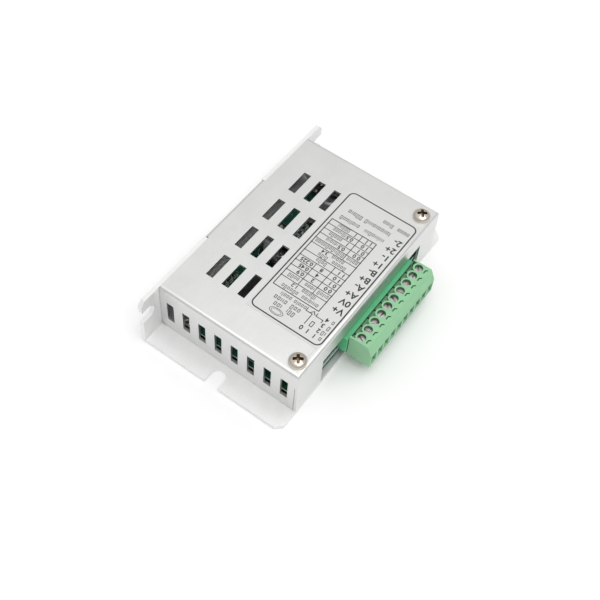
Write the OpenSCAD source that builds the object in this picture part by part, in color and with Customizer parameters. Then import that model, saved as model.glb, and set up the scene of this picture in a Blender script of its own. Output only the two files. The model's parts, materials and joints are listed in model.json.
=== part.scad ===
// Stepper driver module.
// A bent aluminium bracket (bottom plate and side wall) carries a circuit board under a vented
// sheet cover. A ten-way screw-terminal plug pushes into a header along one side.
// X runs along the module, -Y towards the terminals, +Y towards the bracket's wall, +Z up.
// Origin: on the bracket's bottom face, under the middle of the cover. Units: millimetres.

/* [Bracket] */
// Length of the bracket, tip to tip
bracket_l = 98.4; // [96:0.2:110]
// Thickness of the bracket's sheet
bracket_t = 1.5; // [1.4:0.1:1.6]
// Height of the bracket's side wall
wall_top = 22.0; // [21.6:0.1:22.2]
// Width of the mounting notches in the bottom plate
plate_notch_w = 5.6; // [4:0.1:6]
// Depth of the mounting notches in the bottom plate
plate_notch_depth = 6.4; // [4:0.1:7]
// Width of the mounting notches in the side wall
wall_notch_w = 5.4; // [4:0.1:6]
// Depth of the mounting notches in the side wall
wall_notch_depth = 5.5; // [4:0.1:7]
// Height of the side wall's notches above the bottom face
wall_notch_z = 14.1; // [13:0.1:15]

/* [Cover] */
// Length of the cover
cover_l = 81.6; // [80.8:0.1:82]
// Width of the cover
cover_w = 54.6; // [54.4:0.1:55]
// Height of the cover's top face
cover_h = 22.3; // [22.2:0.1:23]
// Thickness of the cover's sheet
cover_t = 1.0; // [0.8:0.1:1.1]
// Outside radius of the cover's bends
bend_r = 1.4; // [1.2:0.1:1.8]

/* [Vents] */
// Length of one slot in the top
top_slot_l = 9.7; // [6:0.1:11]
// Width of one slot in the top
top_slot_w = 2.7; // [1.5:0.1:3.5]
// Width of one slot in an end
end_slot_w = 2.8; // [1.5:0.1:3.5]
// Height of one slot in an end
end_slot_h = 9.5; // [6:0.1:11]

/* [Board] */
// Thickness of the circuit board
board_t = 1.6; // [1.2:0.1:1.6]
// Gap between the bottom plate and the board
board_gap = 3.1; // [3.1:0.1:3.3]

/* [Terminals] */
// Number of terminal poles
poles = 10; // [8:1:10]
// Distance between poles
pitch = 3.81; // [3.7:0.01:3.81]

/* [Switch] */
// Number of setting switches
switches = 4; // [2:1:4]

/* [Hidden] */
$fn = 48;
eps = 0.01;
cut = 1;
thread_gap = 0.05;

// Bracket
bracket_x = bracket_l / 2;
bracket_bend = 2.5;
wall_in = cover_w / 2;
wall_out = wall_in + bracket_t;
plate_edge = -cover_w / 2;
plate_chamfer = 2.2;
wall_chamfer = 1.8;

// Cover
cover_x = cover_l / 2;
cover_y = cover_w / 2;
cover_in = cover_h - cover_t;
cover_foot = bracket_t + 0.1;
cover_left = wall_in - 0.1;
seam_w = 0.15;
seam_top = 15;
foot_relief = 1.7;
tab_x = [-15.7, 14.9];
tab_foot = 17.4;
tab_gap = 0.3;
window_x = [-27, 30.6];
window_top = 14.4;

// Vent slots
top_slot_rows = 4;
top_slot_cols = 3;
top_slot_pitch_x = 14.84;
top_slot_pitch_y = 6.31;
top_slot_x = -27.65;
top_slot_y = 18.85;
end_slots = 8;
end_slot_pitch = 6.466;
end_slot_y = 24.5;
end_slot_z = 6.45;

// Label
label_t = 0.12;
label_x = [-28.9, 30.6];
label_y = [-25.8, 1.8];
label_r = 0.6;

// Board and its fasteners
board_foot = bracket_t + board_gap;
board_top = board_foot + board_t;
board_x = 38.9;
board_y = [-26.1, 21.3];
fix_x = [-36, 35.3];
post_y = -23.4;
screw_y = 18;
m3 = 3;
m3_clear = 3.3;
standoff_d = 5.4;
standoff_stem_d = 4.2;
standoff_bore = 3.6;
post_hex = 5;
board_screw_l = 4.4;
post_bore = 8;
cover_screw_l = 6;
rim_share = 0.45;
wing_l_share = 0.54;
wing_w_share = 0.12;
wing_foot_share = 0.42;
recess_foot_share = 0.35;
recess_d_share = 0.22;
cover_screw_turn = 35;
cover_head_d = 6;
cover_head_h = 2.1;
board_head_d = 5.4;
board_head_h = 1.9;

// Terminal header and plug
row_x = 3.85;
row_end = (poles - 1) * pitch / 2;
header_over = 2.4;
header_x = [row_x - row_end - header_over, row_x + row_end + header_over];
header_y = [-28.95, -20.6];
header_top = board_top + 7.9;
header_wall = 0.75;
header_end = 1.1;
header_back = 1.4;
plug_over = 2.1;
plug_x = [row_x - row_end - plug_over, row_x + row_end + plug_over];
plug_back = -29.2;
plug_front = -37.9;
plug_brow = -36.2;
plug_foot = 5.7;
plug_top = 16;
plug_slope = 12.1;
tongue_tip = -22.3;
tongue_z = [7.2, 13.2];
tongue_in = 0.9;
screw_line = -32.4;
bore_r = 1.45;
head_r = 1.35;
head_z = [13.9, 14.9];
slot_w = 0.5;
slot_depth = 0.6;
first_slot_turn = 25;
slot_turn_step = 37;
shank_r = 0.9;
shank_foot = 10.35;
ledge_t = 0.45;
collar_r = 2.05;
ledge_z = 13.4;
ledge_depth = 2.4;
end_rib = 0.6;
key_slot_x = [1, 1.6];
key_slot_depth = 0.7;
key_slot_z = 9.5;
marker_z = plug_top - 0.7;
marker_x = [-0.95, 0.55];
marker_y = [screw_line - 2.55, screw_line - 2.15];
marker_tick_l = 0.9;
marker_tick_w = 0.44;
marker_tick_turn = -52;
cage_w = 2.5;
cage_y = [-33.75, -31.15];
cage_z = [6.3, 11.35];
cage_floor = 0.6;
cage_roof = 1;
cage_side = 0.3;
cavity_gap = 0.1;
entry_w = 2;
entry_z = [7.2, 10.2];
mouth_w = 3;
mouth_z = [6.5, 11.2];
mouth_depth = 1.3;
pin_z = 10.2;
pin_w = 0.9;
pin_hole_d = 1.44;
pin_tip = -28.2;
pin_drop = -19.6;
pin_foot = 3.4;
contact_w = 1.6;
contact_in = 1.1;
bar_z = [9.7, 10.2];
bar_front = -34.3;
tube_back = -22.8;
tube_front = -28.6;
tube_wall = 0.4;

// Setting switches
dip_x = -22.4;
dip_pitch = 2.54;
dip_over = 1.99;
dip_y = [-24.9, -19.4];
dip_z = [board_top, 15.9];
dip_window_z = [8.9, 12.5];
dip_window_w = 1.6;
dip_window_depth = 1.6;
slider_w = 1.3;
slider_z = [9, 10.3];
slider_tip = -25.1;
slider_gap = 0.1;

// Power lamp
lamp_x = 28;
lamp_z = 8.6;
lamp_r = 1.45;
lamp_y = [-25.8, -20.6];
lamp_flange_r = 1.9;
lamp_flange_t = 1;

// Electrolytic capacitors: [x, y, diameter, height]
bulk_caps = [[2.1, 13, 10, 12], [27.5, 8, 10, 12]];
small_caps = [[-4.6, 6.4, 6.3, 11], [14.6, 4.2, 6.3, 11]];
groove_z = 1.7;
groove_r = 0.6;
groove_depth = 0.35;
score_share = 0.32;
score_w = 0.3;
score_depth = 0.3;
cap_lead_x = 1.25;
lead_d = 0.6;
hole_d = 0.8;

// Chips and passives
logic_pos = [-16, 10.7];
logic_size = [12.8, 7.5, 2.3];
logic_pins = 10;
logic_pin_pitch = 1.27;
logic_pin_w = 0.42;
logic_dot = [1.2, 1.35];
logic_dot_d = 1;
opto_x = [-6, 2, 10];
opto_y = -12.5;
opto_size = [4.6, 6.4, 3.4];
opto_pin_pitch = 2.54;
opto_pin_w = 0.8;
opto_dot = [0.8, 0.8];
opto_dot_d = 0.8;
chip_lift = 0.2;
lead_t = 0.2;
shoulder_z = 1.1;
knee_out = 0.6;
foot_out = 1.3;
driver_pos = [8, -4];
driver_size = [12, 12, 1.1];
regulator_pos = [-31, 4];
regulator_size = [6.6, 6, 2.3];
regulator_tab = [5.4, 1.3, 0.5];
regulator_tab_y = 3.6;
regulator_lead = [0.8, 2.7, 0.5];
regulator_lead_x = 2.3;
regulator_lead_y = -4.3;
sense_pos = [[-14.5, -8], [-14.5, -13]];
sense_size = [6.3, 3.2, 0.6];
diode_pos = [33, -10];
diode_size = [4.6, 2.6, 2.2];
diode_tabs = [5.6, 1.56, 0.6];
crystal_pos = [-31, -8];
crystal_size = [11, 4.6, 3.6];
crystal_lead_x = 2.44;
resistor_rows = [[12.4, 11.4, 4], [-23, 1.5, 7], [18, -6, 5]];
ceramic_rows = [[-24, 18.6, 5], [16, -14.5, 4]];
chip_pitch = 2.6;
chip_size = [1.25, 2, 0.5];
ceramic_h = 0.9;

dip_pin_y = [dip_y[0] + 1.3, dip_y[1] - 1.3];
lamp_lead_x = 1.27;
lamp_lead_y = lamp_y[1] + 1.35;

function pole_x(i) = row_x + (i - (poles + 1) / 2) * pitch;
function switch_x(i) = dip_x + (i - (switches + 1) / 2) * dip_pitch;

// Where leads go through the board
lead_holes = concat(
    [for (i = [1:switches], y = dip_pin_y) [switch_x(i), y]],
    [for (c = concat(bulk_caps, small_caps), side = [-1, 1]) [c[0] + side * cap_lead_x, c[1]]],
    [for (side = [-1, 1]) [crystal_pos[0] + side * crystal_lead_x, crystal_pos[1]]],
    [for (side = [-1, 1]) [lamp_x + side * lamp_lead_x, lamp_lead_y]]
);

// ---- Shared shapes ----

// Box between two ends on each axis
module block(x, y, z)
    translate([x[0], y[0], z[0]])
        cube([x[1] - x[0], y[1] - y[0], z[1] - z[0]]);

// Box of a given size, centred in X and Y, standing on z
module chip(pos, size, z)
    translate([pos[0] - size[0] / 2, pos[1] - size[1] / 2, z])
        cube(size);

// Round lead from below the board up to a height
module lead(pos, top)
    translate([pos[0], pos[1], pin_foot])
        cylinder(d = lead_d, h = top - pin_foot);

// Y-Z outline run along X
module along_x(span)
    translate([span[0], 0, 0])
        rotate([90, 0, 90])
            linear_extrude(span[1] - span[0])
                children();

// X-Z outline run along Y
module along_y(span)
    translate([0, span[1], 0])
        rotate([90, 0, 0])
            linear_extrude(span[1] - span[0])
                children();

// What lies outside a rounded upper left corner whose point is at the origin
module corner_waste(r)
    difference() {
        translate([-cut, -r])
            square([r + cut, r + cut]);
        translate([r, -r])
            circle(r);
    }

// Round-ended notch that opens towards +X, its inner end at the origin
module notch(w, depth) {
    translate([w / 2, 0])
        circle(d = w);
    translate([w / 2, -w / 2])
        square([depth + cut, w]);
}

// Domed screw head with a cross recess, standing on the origin
module pan_head(d, h) {
    dome = h * (1 - rim_share);
    dome_r = (d * d / 4 + dome * dome) / (2 * dome);
    wing_l = d * wing_l_share;
    wing_w = d * wing_w_share;
    difference() {
        intersection() {
            cylinder(d = d, h = h);
            translate([0, 0, h - dome_r])
                sphere(dome_r, $fn = 96);
        }
        for (turn = [0, 90])
            rotate([0, 0, turn])
                block([-wing_l / 2, wing_l / 2], [-wing_w / 2, wing_w / 2],
                      [h * wing_foot_share, h + cut]);
        translate([0, 0, h * recess_foot_share])
            cylinder(d = d * recess_d_share, h = h);
    }
}

// Pan-head machine screw: head above the origin, shank below
module machine_screw(head_d, head_h, length) {
    pan_head(head_d, head_h);
    translate([0, 0, -length])
        cylinder(d = m3 - 2 * thread_gap, h = length + eps);
}

// ---- Bracket ----

module bracket_outline()
    difference() {
        union() {
            translate([plate_edge, 0])
                square([wall_out - plate_edge, bracket_t]);
            translate([wall_in, 0])
                square([bracket_t, wall_top]);
            translate([wall_in - bracket_bend + bracket_t, bracket_t])
                square([bracket_bend - bracket_t, bracket_bend - bracket_t]);
        }
        translate([wall_in - bracket_bend + bracket_t, bracket_bend])
            circle(bracket_bend - bracket_t);
        translate([wall_out, 0])
            rotate(180)
                corner_waste(bracket_bend);
    }

module base_bracket()
    color([0.80, 0.81, 0.82])
        difference() {
            along_x([-bracket_x, bracket_x])
                bracket_outline();
            for (end = [-1, 1]) {
                // mounting notch in the plate
                translate([end * (bracket_x - plate_notch_depth), 0, -cut])
                    rotate([0, 0, end > 0 ? 0 : 180])
                        linear_extrude(bracket_t + 2 * cut)
                            notch(plate_notch_w, plate_notch_depth);
                // mounting notch in the wall
                translate([end * (bracket_x - wall_notch_depth), wall_out + cut, wall_notch_z])
                    rotate([90, 0, 0])
                        linear_extrude(bracket_t + 2 * cut)
                            rotate(end > 0 ? 0 : 180)
                                notch(wall_notch_w, wall_notch_depth);
                // chamfered free corners
                translate([end * bracket_x, plate_edge, 0])
                    rotate([0, 0, 45])
                        cube([plate_chamfer * sqrt(2), plate_chamfer * sqrt(2), 4 * bracket_t],
                             center = true);
                translate([end * bracket_x, wall_out, wall_top])
                    rotate([0, 45, 0])
                        cube([wall_chamfer * sqrt(2), 4 * bracket_t, wall_chamfer * sqrt(2)],
                             center = true);
            }
            // seat for the cover's tab
            block([tab_x[0] - tab_gap, tab_x[1] + tab_gap], [wall_in - cut, wall_out + cut],
                  [tab_foot - tab_gap, wall_top + cut]);
            // press-in holes for the standoffs
            for (x = fix_x, y = [post_y, screw_y])
                translate([x, y, -cut])
                    cylinder(d = standoff_stem_d, h = bracket_t + 2 * cut);
        }

// ---- Cover ----

// Solid rounded block; inset shrinks it to the inside of the sheet
module cover_block(inset, left)
    intersection() {
        along_x([-cover_x + inset, cover_x - inset])
            difference() {
                translate([-cover_y + inset, -cut])
                    square([cover_y + left - inset, cover_h + cut - inset]);
                translate([-cover_y + inset, cover_h - inset])
                    corner_waste(bend_r - inset);
            }
        along_y([-cover_y, left])
            difference() {
                translate([-cover_x + inset, -cut])
                    square([cover_l - 2 * inset, cover_h + cut - inset]);
                for (end = [0, 1])
                    mirror([end, 0])
                        translate([-cover_x + inset, cover_h - inset])
                            corner_waste(bend_r - inset);
            }
    }

// Tab that folds down over the bracket's wall
module cover_tab()
    along_x(tab_x)
        difference() {
            union() {
                translate([wall_in - cover_t, cover_in])
                    square([wall_out - wall_in + cover_t, cover_t]);
                translate([wall_out - cover_t, tab_foot])
                    square([cover_t, cover_h - tab_foot]);
            }
            translate([wall_out, cover_h])
                mirror([1, 0])
                    corner_waste(bend_r);
        }

module cover()
    color([0.86, 0.87, 0.87])
        difference() {
            union() {
                difference() {
                    cover_block(0, cover_left);
                    cover_block(cover_t, cover_left + cut);
                }
                cover_tab();
            }
            block([-cover_l, cover_l], [-cover_w, cover_w], [-2 * cut, cover_foot]);
            // vent slots in the top
            for (row = [0:top_slot_rows - 1], col = [0:top_slot_cols - 1])
                translate([top_slot_x + row * top_slot_pitch_x,
                           top_slot_y - top_slot_w - col * top_slot_pitch_y, cover_in - cut])
                    cube([top_slot_l, top_slot_w, cover_t + 2 * cut]);
            for (end = [-1, 1]) {
                // vent slots in the ends
                for (k = [0:end_slots - 1])
                    translate([end * cover_x - cover_t - cut,
                               end_slot_y - end_slot_w - k * end_slot_pitch, end_slot_z])
                        cube([2 * (cover_t + cut), end_slot_w, end_slot_h]);
                // open seam between end wall and side wall
                translate([end * cover_x - cover_t - cut, -cover_y + cover_t, 0])
                    cube([2 * (cover_t + cut), seam_w, seam_top]);
                // clearance for the bracket's inside bend
                translate([end * cover_x, cover_left, cover_foot])
                    rotate([45, 0, 0])
                        cube([4 * cover_t, foot_relief * sqrt(2), foot_relief * sqrt(2)],
                             center = true);
            }
            // side window for the terminals and switches
            block(window_x, [-cover_y - cut, -cover_y + cover_t + cut], [0, window_top]);
            for (x = fix_x)
                translate([x, post_y, cover_in - cut])
                    cylinder(d = m3_clear, h = cover_t + 2 * cut);
        }

module label()
    color([0.88, 0.89, 0.89])
        translate([0, 0, cover_h])
            linear_extrude(label_t)
                difference() {
                    translate([label_x[0], label_y[0]])
                        square([label_x[1] - label_x[0], label_y[1] - label_y[0]]);
                    for (x = [0, 1], y = [0, 1])
                        translate([label_x[x], label_y[y]])
                            mirror([x, 0])
                                mirror([0, 1 - y])
                                    corner_waste(label_r);
                }

// ---- Board and fasteners ----

module circuit_board()
    color([0.05, 0.28, 0.18])
        difference() {
            block([-board_x, board_x], board_y, [board_foot, board_top]);
            for (x = fix_x, y = [post_y, screw_y])
                translate([x, y, board_foot - cut])
                    cylinder(d = m3_clear, h = board_t + 2 * cut);
            for (i = [1:poles])
                translate([pole_x(i), pin_drop, board_foot - cut])
                    cylinder(d = pin_hole_d, h = board_t + 2 * cut);
            for (p = lead_holes)
                translate([p[0], p[1], board_foot - cut])
                    cylinder(d = hole_d, h = board_t + 2 * cut);
        }

module board_standoffs()
    color([0.72, 0.72, 0.70])
        for (x = fix_x, y = [post_y, screw_y])
            translate([x, y, 0])
                difference() {
                    union() {
                        cylinder(d = standoff_stem_d, h = bracket_t);
                        translate([0, 0, bracket_t])
                            cylinder(d = standoff_d, h = board_gap);
                    }
                    translate([0, 0, board_foot - standoff_bore])
                        cylinder(d = m3, h = standoff_bore + cut);
                }

module board_screws()
    color([0.75, 0.73, 0.70])
        for (x = fix_x)
            translate([x, screw_y, board_top])
                machine_screw(board_head_d, board_head_h, board_screw_l);

module cover_posts()
    color([0.78, 0.68, 0.42])
        for (x = fix_x)
            translate([x, post_y, board_top])
                difference() {
                    union() {
                        cylinder(d = post_hex / cos(30), h = cover_in - board_top, $fn = 6);
                        translate([0, 0, -board_screw_l])
                            cylinder(d = m3 - 2 * thread_gap, h = board_screw_l + eps);
                    }
                    translate([0, 0, cover_in - board_top - post_bore])
                        cylinder(d = m3, h = post_bore + cut);
                }

module cover_screws()
    color([0.80, 0.76, 0.72])
        for (x = fix_x)
            translate([x, post_y, cover_h])
                rotate([0, 0, cover_screw_turn])
                    machine_screw(cover_head_d, cover_head_h, cover_screw_l);

// ---- Terminal header ----

module header_housing()
    color([0.20, 0.62, 0.40])
        difference() {
            block(header_x, header_y, [board_top, header_top]);
            block([header_x[0] + header_end, header_x[1] - header_end],
                  [header_y[0] - cut, header_y[1] - header_back],
                  [board_top + header_wall, header_top - header_wall]);
            for (i = [1:poles])
                block([pole_x(i) - pin_w / 2, pole_x(i) + pin_w / 2],
                      [header_y[1] - header_back - cut, header_y[1] + cut],
                      [pin_z - pin_w / 2, pin_z + pin_w / 2]);
        }

module header_pins()
    color([0.80, 0.78, 0.72])
        for (i = [1:poles]) {
            span = [pole_x(i) - pin_w / 2, pole_x(i) + pin_w / 2];
            block(span, [pin_tip, pin_drop + pin_w / 2], [pin_z - pin_w / 2, pin_z + pin_w / 2]);
            block(span, [pin_drop - pin_w / 2, pin_drop + pin_w / 2],
                  [pin_foot, pin_z + pin_w / 2]);
        }

// ---- Terminal plug ----

module plug_outline() {
    polygon([[plug_back, plug_foot], [plug_back, plug_top], [plug_brow, plug_top],
             [plug_front, plug_slope], [plug_front, plug_foot]]);
    translate([plug_back - eps, tongue_z[0]])
        square([tongue_tip - plug_back + eps, tongue_z[1] - tongue_z[0]]);
}

// Tapered mouth where a wire enters, narrower inside
module wire_mouth() {
    inner_y = plug_front + mouth_depth;
    intersection() {
        along_x([-mouth_w / 2, mouth_w / 2])
            polygon([[plug_front - eps, mouth_z[0]], [inner_y, entry_z[0]],
                     [inner_y, entry_z[1]], [plug_front - eps, mouth_z[1]]]);
        translate([0, 0, mouth_z[0] - cut])
            linear_extrude(mouth_z[1] - mouth_z[0] + 2 * cut)
                polygon([[-mouth_w / 2, plug_front - eps], [mouth_w / 2, plug_front - eps],
                         [entry_w / 2, inner_y], [-entry_w / 2, inner_y]]);
    }
}

// Everything cut from the plug at one pole, with the pole's screw on the Z axis
module pole_cuts() {
    cavity_x = cage_w / 2 + cavity_gap;
    // screw bore with a ledge under the head
    translate([0, screw_line, head_z[0] - thread_gap])
        cylinder(r = bore_r, h = plug_top);
    translate([0, screw_line, cage_z[0]])
        cylinder(r = shank_r + 2 * thread_gap, h = plug_top - cage_z[0]);
    // cavity for the wire cage
    block([-cavity_x, cavity_x], [cage_y[0] - cavity_gap, cage_y[1] + cavity_gap],
          [cage_z[0] - cavity_gap, head_z[0] - ledge_t]);
    // way in for the wire
    wire_mouth();
    block([-entry_w / 2, entry_w / 2], [plug_front + mouth_depth - eps, cage_y[0]], entry_z);
    // seat for the contact
    block([-contact_w / 2, contact_w / 2], [bar_front, tube_front + eps], bar_z);
    block([-contact_w / 2 - eps, contact_w / 2 + eps], [tube_front, tongue_tip + cut],
          [pin_z - contact_w / 2 - eps, pin_z + contact_w / 2 + eps]);
    // marker in front of the screw: a stroke with a slanted tick
    block(marker_x, marker_y, [marker_z, plug_top + cut]);
    translate([marker_x[1] - marker_tick_w / 2, (marker_y[0] + marker_y[1]) / 2, marker_z])
        rotate([0, 0, marker_tick_turn])
            block([0, marker_tick_l], [-marker_tick_w / 2, marker_tick_w / 2],
                  [0, plug_top - marker_z + cut]);
    // keying slot between two collars
    block(key_slot_x, [plug_back - key_slot_depth, plug_back + cut], [key_slot_z, plug_top + cut]);
}

module plug_housing()
    color([0.56, 0.84, 0.60])
        difference() {
            union() {
                difference() {
                    along_x(plug_x)
                        plug_outline();
                    // lowered ledge behind the collars
                    block([plug_x[0] + end_rib, plug_x[1] - end_rib],
                          [plug_back - ledge_depth, plug_back + cut], [ledge_z, plug_top + cut]);
                    // the tongue is shorter than the body
                    for (end = [0, 1])
                        translate([row_x, 0, 0])
                            mirror([end, 0, 0])
                                block([row_end + plug_over - tongue_in, row_end + 2 * plug_over],
                                      [plug_back, tongue_tip + cut], [0, plug_top]);
                }
                for (i = [1:poles])
                    translate([pole_x(i), screw_line, ledge_z - eps])
                        cylinder(r = collar_r, h = plug_top - ledge_z + eps);
            }
            for (i = [1:poles])
                translate([pole_x(i), 0, 0])
                    pole_cuts();
        }

module plug_contacts()
    color([0.82, 0.80, 0.74])
        for (i = [1:poles])
            translate([pole_x(i), 0, 0])
                difference() {
                    union() {
                        block([-contact_w / 2, contact_w / 2], [tube_front, tube_back],
                              [pin_z - contact_w / 2, pin_z + contact_w / 2]);
                        block([-contact_w / 2, contact_w / 2], [bar_front, tube_front + eps],
                              bar_z);
                    }
                    block([-contact_in / 2, contact_in / 2], [tube_front + tube_wall, tube_back + cut],
                          [pin_z - contact_in / 2, pin_z + contact_in / 2]);
                }

module clamp_screw(i)
    color([0.76, 0.76, 0.76])
        translate([pole_x(i), screw_line, 0])
            difference() {
                union() {
                    translate([0, 0, head_z[0]])
                        cylinder(r = head_r, h = head_z[1] - head_z[0]);
                    translate([0, 0, shank_foot])
                        cylinder(r = shank_r, h = head_z[0] - shank_foot + eps);
                }
                rotate([0, 0, first_slot_turn + slot_turn_step * i])
                    block([-2 * head_r, 2 * head_r], [-slot_w / 2, slot_w / 2],
                          [head_z[1] - slot_depth, head_z[1] + cut]);
            }

module wire_cage(i)
    color([0.78, 0.76, 0.68])
        translate([pole_x(i), 0, 0])
            difference() {
                block([-cage_w / 2, cage_w / 2], cage_y, cage_z);
                block([-cage_w / 2 + cage_side, cage_w / 2 - cage_side],
                      [cage_y[0] - cut, cage_y[1] + cut],
                      [cage_z[0] + cage_floor, cage_z[1] - cage_roof]);
                translate([0, screw_line, cage_z[1] - cage_roof - eps])
                    cylinder(r = shank_r + thread_gap, h = cage_roof + cut);
            }

// ---- Setting switches ----

module dip_switch_body()
    color([0.10, 0.10, 0.11])
        difference() {
            block([switch_x(1) - dip_over, switch_x(switches) + dip_over], dip_y, dip_z);
            for (i = [1:switches])
                block([switch_x(i) - dip_window_w / 2, switch_x(i) + dip_window_w / 2],
                      [dip_y[0] - cut, dip_y[0] + dip_window_depth], dip_window_z);
        }

module dip_switch_pins()
    color([0.80, 0.78, 0.72])
        for (i = [1:switches], y = dip_pin_y)
            lead([switch_x(i), y], board_top);

module dip_slider(i)
    color([0.92, 0.92, 0.90])
        block([switch_x(i) - slider_w / 2, switch_x(i) + slider_w / 2],
              [slider_tip, dip_y[0] + dip_window_depth - slider_gap], slider_z);

// ---- Power lamp ----

module power_lamp()
    color([0.80, 0.15, 0.12])
        translate([lamp_x, 0, lamp_z]) {
            translate([0, lamp_y[1], 0])
                rotate([90, 0, 0])
                    cylinder(r = lamp_r, h = lamp_y[1] - lamp_y[0] - lamp_r);
            translate([0, lamp_y[0] + lamp_r, 0])
                sphere(lamp_r);
            translate([0, lamp_y[1], 0])
                rotate([90, 0, 0])
                    cylinder(r = lamp_flange_r, h = lamp_flange_t);
        }

module power_lamp_leads()
    color([0.80, 0.78, 0.72])
        for (side = [-1, 1]) {
            x = lamp_x + side * lamp_lead_x;
            lead([x, lamp_lead_y], lamp_z + lead_d / 2);
            translate([x, lamp_lead_y, lamp_z])
                rotate([90, 0, 0])
                    cylinder(d = lead_d, h = lamp_lead_y - lamp_y[1]);
        }

// ---- Capacitors ----

// Can with a rolled groove near its foot and vent scores in its top: c = [x, y, diameter, height]
module can(c)
    translate([c[0], c[1], board_top])
        difference() {
            cylinder(d = c[2], h = c[3]);
            translate([0, 0, groove_z])
                rotate_extrude()
                    translate([c[2] / 2 + groove_r - groove_depth, 0])
                        circle(groove_r);
            for (turn = [0, 60, 120])
                rotate([0, 0, turn])
                    block([-c[2] * score_share, c[2] * score_share], [-score_w / 2, score_w / 2],
                          [c[3] - score_depth, c[3] + cut]);
        }

module bulk_capacitors()
    color([0.10, 0.11, 0.13])
        for (c = bulk_caps)
            can(c);

module small_capacitors()
    color([0.12, 0.12, 0.14])
        for (c = small_caps)
            can(c);

module capacitor_leads()
    color([0.80, 0.78, 0.72])
        for (c = concat(bulk_caps, small_caps), side = [-1, 1])
            lead([c[0] + side * cap_lead_x, c[1]], board_top);

// ---- Chips ----

// Gull-wing leads along both long sides of a chip, n on each side
module gull_leads(pos, size, n, lead_pitch, w) {
    side_y = size[1] / 2;
    knee_y = side_y + knee_out;
    for (k = [0:n - 1], side = [0, 1])
        translate([pos[0] + (k - (n - 1) / 2) * lead_pitch, pos[1], board_top])
            mirror([0, side, 0]) {
                block([-w / 2, w / 2], [side_y, knee_y], [shoulder_z - lead_t, shoulder_z]);
                block([-w / 2, w / 2], [knee_y - lead_t, knee_y], [0, shoulder_z]);
                block([-w / 2, w / 2], [knee_y - lead_t, side_y + foot_out], [0, lead_t]);
            }
}

// Chip body on its leads with a round pin-one mark sunk 0.2 mm into its top
module chip_body(pos, size, dot, dot_d)
    difference() {
        chip(pos, size, board_top + chip_lift);
        translate([pos[0] - size[0] / 2 + dot[0], pos[1] - size[1] / 2 + dot[1],
                   board_top + size[2]])
            cylinder(d = dot_d, h = cut);
    }

module logic_chip()
    color([0.09, 0.09, 0.10])
        chip_body(logic_pos, logic_size, logic_dot, logic_dot_d);

module logic_chip_leads()
    color([0.78, 0.78, 0.76])
        gull_leads(logic_pos, logic_size, logic_pins, logic_pin_pitch, logic_pin_w);

module optocouplers()
    color([0.12, 0.12, 0.13])
        for (x = opto_x)
            chip_body([x, opto_y], opto_size, opto_dot, opto_dot_d);

module optocoupler_leads()
    color([0.78, 0.78, 0.76])
        for (x = opto_x)
            gull_leads([x, opto_y], opto_size, 2, opto_pin_pitch, opto_pin_w);

module driver_chip()
    color([0.09, 0.09, 0.10])
        chip(driver_pos, driver_size, board_foot - driver_size[2]);

module thermal_pad()
    color([0.55, 0.60, 0.66])
        chip(driver_pos, [driver_size[0] + 2, driver_size[1] + 2, board_gap - driver_size[2]],
             bracket_t);

module voltage_regulator()
    color([0.10, 0.10, 0.11])
        translate([regulator_pos[0], regulator_pos[1], 0]) {
            chip([0, 0], regulator_size, board_top);
            // heat-spreading tab and two leads
            chip([0, regulator_tab_y], regulator_tab, board_top);
            for (side = [-1, 1])
                chip([side * regulator_lead_x, regulator_lead_y], regulator_lead, board_top);
        }

module sense_resistors()
    color([0.14, 0.14, 0.15])
        for (p = sense_pos)
            chip(p, sense_size, board_top);

module chip_resistors()
    color([0.16, 0.16, 0.17])
        for (row = resistor_rows, k = [0:row[2] - 1])
            chip([row[0] + k * chip_pitch, row[1]], chip_size, board_top);

module ceramic_capacitors()
    color([0.66, 0.56, 0.42])
        for (row = ceramic_rows, k = [0:row[2] - 1])
            chip([row[0] + k * chip_pitch, row[1]], [chip_size[0], chip_size[1], ceramic_h], board_top);

module supply_diode()
    color([0.12, 0.12, 0.13]) {
        chip(diode_pos, diode_size, board_top);
        chip(diode_pos, diode_tabs, board_top);
    }

module crystal()
    color([0.80, 0.80, 0.80])
        translate([crystal_pos[0], crystal_pos[1], board_top]) {
            linear_extrude(crystal_size[2])
                square([crystal_size[0] - crystal_size[1], crystal_size[1]], center = true);
            for (side = [-1, 1]) {
                translate([side * (crystal_size[0] - crystal_size[1]) / 2, 0, 0])
                    cylinder(d = crystal_size[1], h = crystal_size[2]);
                translate([side * crystal_lead_x, 0, pin_foot - board_top])
                    cylinder(d = lead_d, h = board_top - pin_foot + eps);
            }
        }

base_bracket();
cover();
label();
circuit_board();
board_standoffs();
board_screws();
cover_posts();
cover_screws();
header_housing();
header_pins();
plug_housing();
plug_contacts();
for (i = [1:poles])
    clamp_screw(i);
for (i = [1:poles])
    wire_cage(i);
dip_switch_body();
dip_switch_pins();
for (i = [1:switches])
    dip_slider(i);
power_lamp();
power_lamp_leads();
bulk_capacitors();
small_capacitors();
capacitor_leads();
logic_chip();
logic_chip_leads();
optocouplers();
optocoupler_leads();
driver_chip();
thermal_pad();
voltage_regulator();
sense_resistors();
chip_resistors();
ceramic_capacitors();
supply_diode();
crystal();
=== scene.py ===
"""Looks for the stepper driver module: bevelled skins, printed label, board detail, materials, light."""

import json
import math
import random

import bmesh
import bpy
from mathutils import Matrix, Vector


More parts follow.
